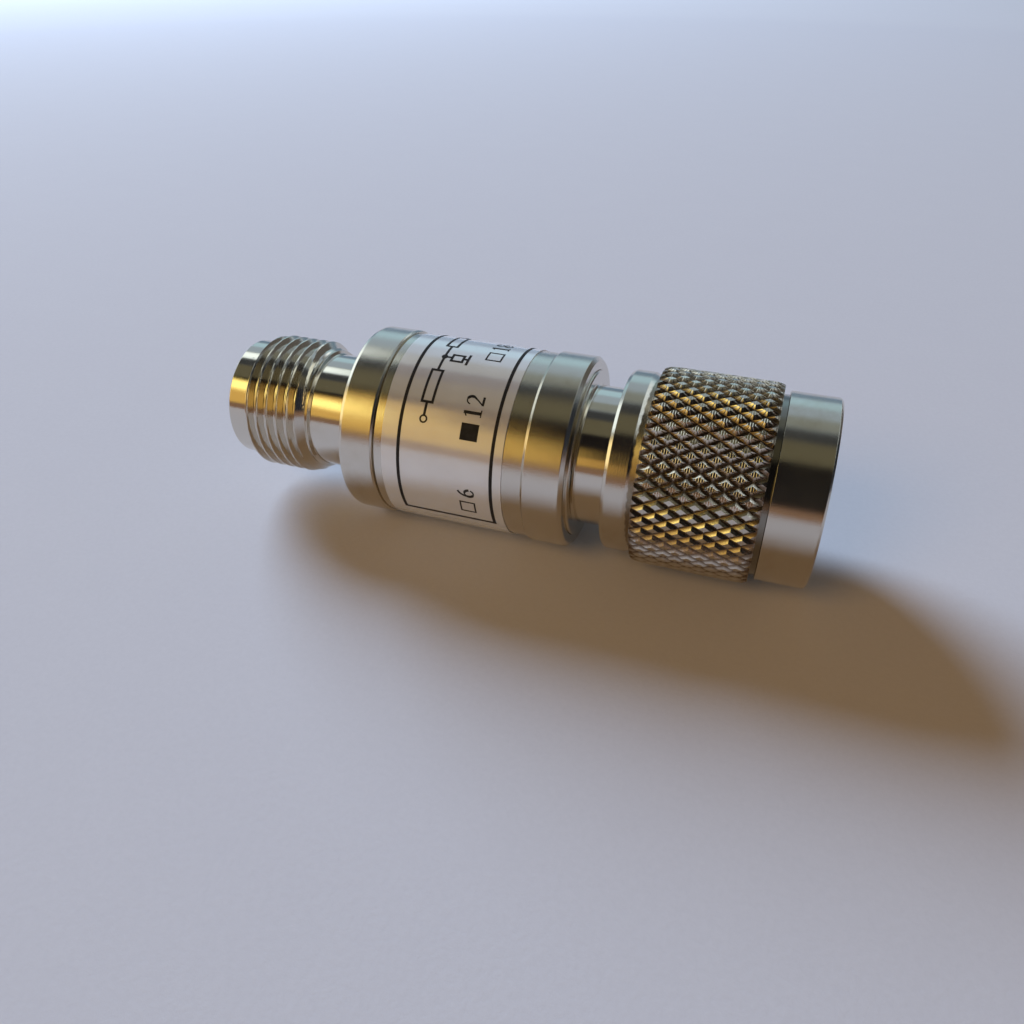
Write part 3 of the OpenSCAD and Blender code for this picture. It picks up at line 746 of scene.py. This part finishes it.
# Numerals as strokes in a box one unit high: points, and one width or a width for each point
DIGITS = {
    "1": [
        ([(0.32, 0.0), (0.32, 1.0)], 0.17),
        ([(0.33, 0.96), (0.12, 0.82)], 0.07),
        ([(0.12, 0.03), (0.52, 0.03)], 0.06),
    ],
    "2": [
        (arc(0.30, 0.72, 0.22, 0.25, 170, -30, 12) + [(0.34, 0.38), (0.10, 0.08)],
         [0.07] * 6 + [0.16] * 5 + [0.12, 0.08, 0.07]),
        ([(0.06, 0.06), (0.56, 0.06)], 0.13),
    ],
    "4": [
        ([(0.38, 0.97), (0.03, 0.29)], 0.06),
        ([(0.02, 0.27), (0.60, 0.27)], 0.09),
        ([(0.42, 0.0), (0.42, 1.0)], 0.16),
    ],
    "6": [
        (arc(0.31, 0.30, 0.21, 0.26, 0, 342, 20), [0.15] * 5 + [0.09] * 4 + [0.16] * 5 + [0.09] * 6),
        (arc(0.50, 0.30, 0.40, 0.65, 180, 100, 10), 0.12),
    ],
    "8": [
        (arc(0.30, 0.26, 0.22, 0.22, 0, 342, 20), [0.15] * 4 + [0.08] * 4 + [0.15] * 4 + [0.08] * 8),
        (arc(0.30, 0.74, 0.18, 0.20, 0, 342, 20), [0.13] * 4 + [0.07] * 4 + [0.13] * 4 + [0.07] * 8),
    ],
}

# Tick boxes: degrees round the label, the number beside the box, and whether the box is filled
TICKS = ((-53.5, "6", False), (-5, "12", True), (48, "18", False), (101, "24", False), (154, "48", False))


def label_print():
    """A ruled frame, a row of tick boxes with plain numbers, and the general symbol of a resistive pad."""
    pen = Print()
    per_degree = math.radians(1) * (LABEL_R + LABEL_T)
    frame_line, line, thin = 0.26, 0.2, 0.13
    left, right, low, high = -61.5 * per_degree, 207 * per_degree, 23.1, 30.5
    pen.stroke([(left, low), (right, low), (right, high), (left, high)], frame_line, close=True)
    base, tall = 24.4, 1.38
    for angle, number, ticked in TICKS:
        x = angle * per_degree
        if ticked:
            pen.filled(x, base - 0.02, 1.26, 1.36)
        else:
            pen.box(x + 0.06, base + 0.06, 1.05, 1.14, thin)
        x += 1.62
        for digit in number:
            for points, width in DIGITS[digit]:
                scaled = [(x + px * tall, base + pz * tall) for px, pz in points]
                pen.stroke(scaled, np.asarray(width) * tall)
            x += 0.70 * tall
    # The symbol: two boxes in line between two open ends, and a third from the node between them down to a bar
    x, mid, eye = 3 * per_degree, 28.75, 0.26
    width, height = 2.7, 0.84
    node = x + 1.3 + width + 1.5
    pen.stroke(arc(x, mid, eye, eye, 0, 330, 12), thin, close=True)
    pen.stroke([(x + 0.3, mid), (x + 1.3, mid)], line)
    pen.box(x + 1.3, mid - height / 2, width, height, line)
    pen.stroke([(x + 1.4 + width, mid), (node + 1.4, mid)], line)
    pen.dot(node, mid, 0.25)
    pen.box(node + 1.5, mid - height / 2, width, height, line)
    pen.stroke([(node + 1.6 + width, mid), (node + 2.6 + width, mid)], line)
    pen.stroke(arc(node + 2.9 + width, mid, eye, eye, 180, 510, 12), thin, close=True)
    pen.stroke([(node, mid - 0.1), (node, mid - 0.62)], line)
    pen.box(node - 0.36, mid - 1.5, 0.72, 0.88, line)
    pen.stroke([(node, mid - 1.52), (node, mid - 1.85)], line)
    pen.stroke([(node - 0.62, mid - 1.9), (node + 0.62, mid - 1.9)], line)
    obj = pen.shell.build("label_print", ink)
    return place(obj, "body", "label_paper")


def tail(shell, low, high):
    """The flattened end of an inner conductor, which lies on the pad."""
    radius, flat = 0.6, -0.25
    edge = math.degrees(math.asin(flat / radius))
    prism(shell, arc(0, 0, radius, radius, edge, 180 - edge, 40), low, high)


def plug_pin():
    shell = Shell()
    revolve(shell, outline([
        (0.0, 2.3, 0),
        (0.0, 22.0, 0),
        (0.98, 22.0, 0.03),
        (0.98, 12.1, 0),
        (1.6, 12.1, 0.04),
        (1.6, 11.3, 0.04),
        (0.98, 11.3, 0),
        (0.98, 7.0, 0.04),
        (0.685, 7.0, 0.03),
        (0.685, 3.1, 0.4),
        (0.565, 2.65, 0.3),
        (0.25, 2.3, 0.12),
    ]), 96)
    tail(shell, 21.9, 23.3)
    return place(shell.build("pin_turned", gold), "body", "gold_plate", "plug_pin")


def jack_socket():
    """The socket's rod and floor, and above them four fingers between the cross slots."""
    shell = Shell()
    revolve(shell, outline([
        (0.0, 28.3, 0),
        (0.0, 41.535, 0),
        (0.71, 41.935, 0),
        (0.71, 43.135, 0),
        (1.05, 43.135, 0),
        (1.05, 41.035, 0.03),
        (0.98, 41.035, 0),
        (0.98, 38.635, 0),
        (1.6, 38.635, 0.04),
        (1.6, 37.835, 0.04),
        (0.98, 37.835, 0),
        (0.98, 28.3, 0.03),
    ]), 96)
    finger = outline([
        (0.71, 42.9, 0),
        (0.71, 46.335, 0.05),
        (0.83, 46.535, 0.03),
        (0.95, 46.535, 0.03),
        (1.05, 46.435, 0.04),
        (1.05, 42.9, 0),
    ])
    half_slot = 5.9
    for k in range(4):
        revolve(shell, finger, 20, 90 * k + half_slot, 90 - 2 * half_slot)
    tail(shell, 27.1, 28.4)
    return place(shell.build("socket_turned", gold), "body", "gold_plate", "jack_socket")


def spring_sleeve():
    """The sleeve's base, and below it four spring fingers between the slots."""
    shell = Shell()
    revolve(shell, outline([
        (3.35, 6.6, 0),
        (3.35, 7.0, 0),
        (3.65, 7.0, 0),
        (3.65, 11.3, 0),
        (4.25, 11.3, 0.03),
        (4.25, 7.0, 0.05),
        (4.0, 7.0, 0),
        (4.0, 6.6, 0),
    ]))
    finger = outline([
        (3.55, 1.7, 0.05),
        (3.35, 1.9, 0.08),
        (3.35, 6.8, 0),
        (4.0, 6.8, 0),
        (4.0, 1.95, 0.12),
        (3.85, 1.7, 0.06),
    ])
    half_slot = 3.1
    for k in range(4):
        revolve(shell, finger, 40, 90 * k - 45 + half_slot, 90 - 2 * half_slot)
    return place(shell.build("sleeve_fingers", bronze), "body", "spring_bronze", "spring_sleeve")


coupling_nut()
jack_shell()
housing()
plug_shell()
label()
label_print()
plug_pin()
jack_socket()
spring_sleeve()
lathe_piece("gasket_ring", rubber, "silicone", "gasket", [
    (4.27, 7.0, 0.1),
    (4.27, 8.2, 0.05),
    (5.3, 8.2, 0.05),
    (5.3, 7.0, 0.2),
])
lathe_piece("plug_bead", ptfe, "ptfe", "plug_insulator", [
    (1.0, 7.0, 0.05),
    (1.0, 11.3, 0.03),
    (3.63, 11.3, 0.03),
    (3.63, 7.0, 0.06),
])
lathe_piece("jack_bead", ptfe, "ptfe", "jack_insulator", [
    (1.0, 38.635, 0),
    (1.0, 41.035, 0),
    (1.1, 41.035, 0),
    (1.1, 46.535, 0.05),
    (1.2, 46.735, 0.05),
    (2.21, 46.735, 0.06),
    (2.36, 46.585, 0.06),
    (2.36, 41.035, 0),
    (3.23, 41.035, 0.03),
    (3.23, 38.635, 0.03),
])

for node, material in (
    ("retaining_ring", bronze), ("plug_line_insulator", ptfe), ("pad_carrier", brass), ("pad_substrate", alumina),
    ("pad_film", film), ("pad_terminals", silver), ("jack_line_insulator", ptfe),
):
    for slot in frame["nodes"][node].material_slots:
        slot.material = material


# The part lies on the table: directions of the photograph in the part's frame
RIGHT = Vector((0.17334, 0.27603, -0.94539))
AWAY = Vector((0.5028, 0.8006, 0.3259))
UP = Vector((0.84686, -0.53182, 0.0))
AXIS = Vector((0.0, 0.0, 1.0))
FACING = Vector((-0.53182, -0.84686, 0.0))
CENTRE = Vector((0.0, 0.0, 0.0235))
GROUND = CENTRE - UP * KNURL_TOP_R * MM


def at(right, away, up):
    """A point of the stage in metres, from under the middle of the part."""
    return GROUND + RIGHT * right + AWAY * away + UP * up


def sheet(name, corners, material):
    """One flat face of the stage."""
    mesh = bpy.data.meshes.new(name)
    mesh.from_pydata([tuple(c) for c in corners], [], [tuple(range(len(corners)))])
    mesh.materials.append(material)
    obj = bpy.data.objects.new(name, mesh)
    bpy.context.scene.collection.objects.link(obj)
    return obj


def floor():
    """Pale paper, which isn't seen from below."""
    g = material_graph("floor_paper")
    point = g.node("ShaderNodeTexCoord").outputs["Object"]
    fibre, fine = g.noise(point, 2600, 3, 0.65), g.noise(point, 180, 3, 0.5)
    tint = g.blend(fibre, (0.60, 0.605, 0.625), (0.66, 0.665, 0.685))
    tint = g.blend(g.math("MULTIPLY", fine, 0.25), tint, (0.58, 0.58, 0.61))
    above = g.node("ShaderNodeBsdfPrincipled", {
        "Base Color": tint, "Roughness": 0.75, "Specular IOR Level": 0.2, "Normal": g.bump(fibre, 0.00002, 0.6),
    })
    below = g.node("ShaderNodeBsdfTransparent")
    backfacing = g.node("ShaderNodeNewGeometry").outputs["Backfacing"]
    g.show(g.node("ShaderNodeMixShader", {0: backfacing, 1: above.outputs[0], 2: below.outputs[0]}))
    half = 2.0
    corners = [at(-half, -half, 0), at(half, -half, 0), at(half, half, 0), at(-half, half, 0)]
    return sheet("floor", corners, g.owner)


# What the metal mirrors: panels with soft edges on a dome, each over the ones before it. Low and high are degrees
# above the table on the photographer's side (90 is overhead, 180 the far side) with their soft edge; left and right
# are shares of the way along the axis, towards the jack, with theirs; lean is how far it climbs along the axis.
PANELS = (
    ("far wall", -10, 200, 1, -2, 2, 1, 0, (0.38, 0.48, 0.58)),
    ("far shade", 168, 200, 6, -2, 2, 1, 0, (0.19, 0.28, 0.38)),
    ("window", 147, 160, 5, -0.6, 2, 0.1, 0, (0.47, 0.70, 0.84)),
    ("bright edge", 108, 122, 4, -2, 2, 1, 0, (0.27, 0.30, 0.28)),
    ("ceiling", 88, 103, 5, -2, 2, 1, 0, (0.05, 0.055, 0.06)),
    ("cornice", 63, 86, 5, -2, 2, 1, 0, (0.135, 0.125, 0.08)),
    ("front", 9, 61, 3, -2, 2, 1, 0, (0.010, 0.009, 0.009)),
    ("far end", 127, 200, 6, 0.87, 2, 0.06, 0, (0.12, 0.11, 0.105)),
    ("skylight", 108, 121, 3, 0.52, 2, 0.1, 0, (1.35, 1.55, 1.6)),
    ("skylight end", 84, 150, 6, 0.75, 2, 0.06, 0, (1.35, 1.55, 1.6)),
    ("far side", 140, 200, 8, -2, -0.35, 0.08, 0, (0.12, 0.115, 0.11)),
    ("side", -10, 200, 1, -2, -0.85, 0.08, 0, (0.025, 0.03, 0.04)),
    ("side window", 72, 86, 5, -0.65, -0.30, 0.05, 231, (1.1, 1.25, 1.35)),
    ("end", -10, 200, 1, 0.95, 2, 0.03, 0, (0.02, 0.02, 0.022)),
    ("amber edge", 12, 22, 3, 0.14, 2, 0.06, 0, (0.54, 0.31, 0.08)),
    ("amber low", 12, 30, 14, 0.23, 2, 0.08, 0, (0.66, 0.43, 0.11)),
    ("amber", 14, 50, 7, 0.40, 2, 0.10, 0, (0.80, 0.50, 0.13)),
    ("amber end", 14, 64, 8, 0.80, 2, 0.06, 0, (1.7, 1.35, 0.68)),
    ("amber lamp", 29, 39, 8, 0.475, 0.72, 0.03, 100, (2.2, 1.75, 0.56)),
    ("low wall", -10, 8, 3, -2, 2, 1, 0, (0.25, 0.15, 0.095)),
)


def soft(value, low, high, edge):
    """1 from low to high, with a smooth fall to 0 over the edge outside them."""
    share = np.clip(np.minimum(value - low, high - value) / edge + 1, 0, 1)
    return share * share * (3 - 2 * share)


def surroundings(columns=120, rows=240, distance=0.4):
    """The dome with its panels. It shows in reflections only."""
    g = material_graph("surroundings")
    glow = g.node("ShaderNodeAttribute", attribute_name="glow").outputs["Color"]
    g.show(g.node("ShaderNodeEmission", {"Color": glow}))
    g.owner.cycles.emission_sampling = "NONE"
    shares, lifts = np.linspace(-0.9999, 0.9999, columns), np.linspace(-3, 183, rows)
    share, lift = np.meshgrid(shares, lifts, indexing="ij")
    colour = np.zeros((columns, rows, 3))
    for _, low, high, edge, left, right, fade, lean, tint in PANELS:
        climb = lean * (share - left)
        weight = soft(lift - climb, low, high, edge) * soft(share, left, right, fade)
        colour += weight[..., None] * (np.array(tint) - colour)
    along, up = np.arcsin(share)[..., None], np.radians(lift)[..., None]
    across = np.array(FACING) * np.cos(up) + np.array(UP) * np.sin(up)
    ray = np.array(AXIS) * np.sin(along) + across * np.cos(along)
    verts = (np.array(CENTRE) + ray * distance).reshape(-1, 3)
    a = np.arange(columns * rows).reshape(columns, rows)
    faces = np.stack([a[:-1, :-1], a[:-1, 1:], a[1:, 1:], a[1:, :-1]], axis=-1).reshape(-1, 4)
    mesh = bpy.data.meshes.new("surroundings")
    mesh.from_pydata(verts.tolist(), [], faces.tolist())
    paint = mesh.attributes.new("glow", "FLOAT_COLOR", "POINT")
    opaque = np.ones((columns * rows, 1))
    paint.data.foreach_set("color", np.concatenate([colour.reshape(-1, 3), opaque], axis=1).ravel())
    mesh.materials.append(g.owner)
    obj = bpy.data.objects.new("surroundings", mesh)
    bpy.context.scene.collection.objects.link(obj)
    obj.visible_camera = obj.visible_diffuse = obj.visible_shadow = obj.visible_transmission = False
    return obj


def lamp(name, where, power, size, colour):
    """A round lamp that points at the part and isn't mirrored."""
    data = bpy.data.lights.new(name, "AREA")
    data.shape = "DISK"
    data.size = size
    data.energy = power
    data.color = colour
    obj = bpy.data.objects.new(name, data)
    obj.location = where
    obj.rotation_mode = "QUATERNION"
    obj.rotation_quaternion = (CENTRE - where).to_track_quat("-Z", "Y")
    obj.visible_camera = obj.visible_glossy = False
    bpy.context.scene.collection.objects.link(obj)
    return obj


# The fill comes from the photographer's side, a little above the table, and falls to the shade over a wide edge
FILL_LIFT, FILL_EDGE, SHADE, FILL = math.radians(2), 0.45, (0.11, 0.065, 0.03), (0.50, 0.51, 0.52)
BACKDROP = (0.50, 0.62, 0.65, 1.0)


def world():
    """The fill for matt surfaces, and a plain backdrop for the camera and for what mirrors past the dome."""
    studio = bpy.data.worlds.new("studio")
    bpy.context.scene.world = studio
    g = Graph(studio, "ShaderNodeOutputWorld")
    path = g.node("ShaderNodeLightPath").outputs
    mirrored = g.math("MAXIMUM", path["Is Glossy Ray"], path["Is Transmission Ray"])
    seen = g.math("MAXIMUM", path["Is Camera Ray"], mirrored)
    ray = g.node("ShaderNodeTexCoord").outputs["Generated"]
    source = FACING * math.cos(FILL_LIFT) + UP * math.sin(FILL_LIFT)
    towards = g.node("ShaderNodeVectorMath", {0: ray, 1: source}, operation="DOT_PRODUCT").outputs["Value"]
    fill = g.blend(g.between(towards, FILL_EDGE, 1.0), SHADE, FILL)
    light = g.node("ShaderNodeBackground", {"Color": fill, "Strength": 1.0})
    backdrop = g.node("ShaderNodeBackground", {"Color": BACKDROP, "Strength": 1.0})
    g.show(g.node("ShaderNodeMixShader", {0: seen, 1: light.outputs[0], 2: backdrop.outputs[0]}))


floor()
world()
surroundings()
lamp("window", where=at(-0.69, 1.04, 0.65), power=33.5, size=0.745, colour=(0.575, 0.74, 1.0))
lamp("amber", where=CENTRE + (FACING * 0.69 + UP * 0.60 + AXIS * 0.4) * 2, power=9, size=1.0,
     colour=(1.0, 0.53, 0.13))

# The camera, as fitted to the photograph
camera_data = bpy.data.cameras.new("camera")
camera_data.sensor_width = 36.0
camera_data.lens = 29.883
camera_data.clip_start, camera_data.clip_end = 0.001, 50.0
camera = bpy.data.objects.new("camera", camera_data)
look_up = Vector((0.98131, 0.03299, 0.18956))
look_back = Vector((0.08351, -0.96058, -0.26515))
spot = Vector((0.0, -0.065771, 0.004741))
camera.matrix_world = Matrix((
    (RIGHT.x, look_up.x, look_back.x, spot.x),
    (RIGHT.y, look_up.y, look_back.y, spot.y),
    (RIGHT.z, look_up.z, look_back.z, spot.z),
    (0.0, 0.0, 0.0, 1.0),
))
bpy.context.scene.collection.objects.link(camera)
bpy.context.scene.camera = camera
bpy.context.scene.view_settings.view_transform = "Standard"
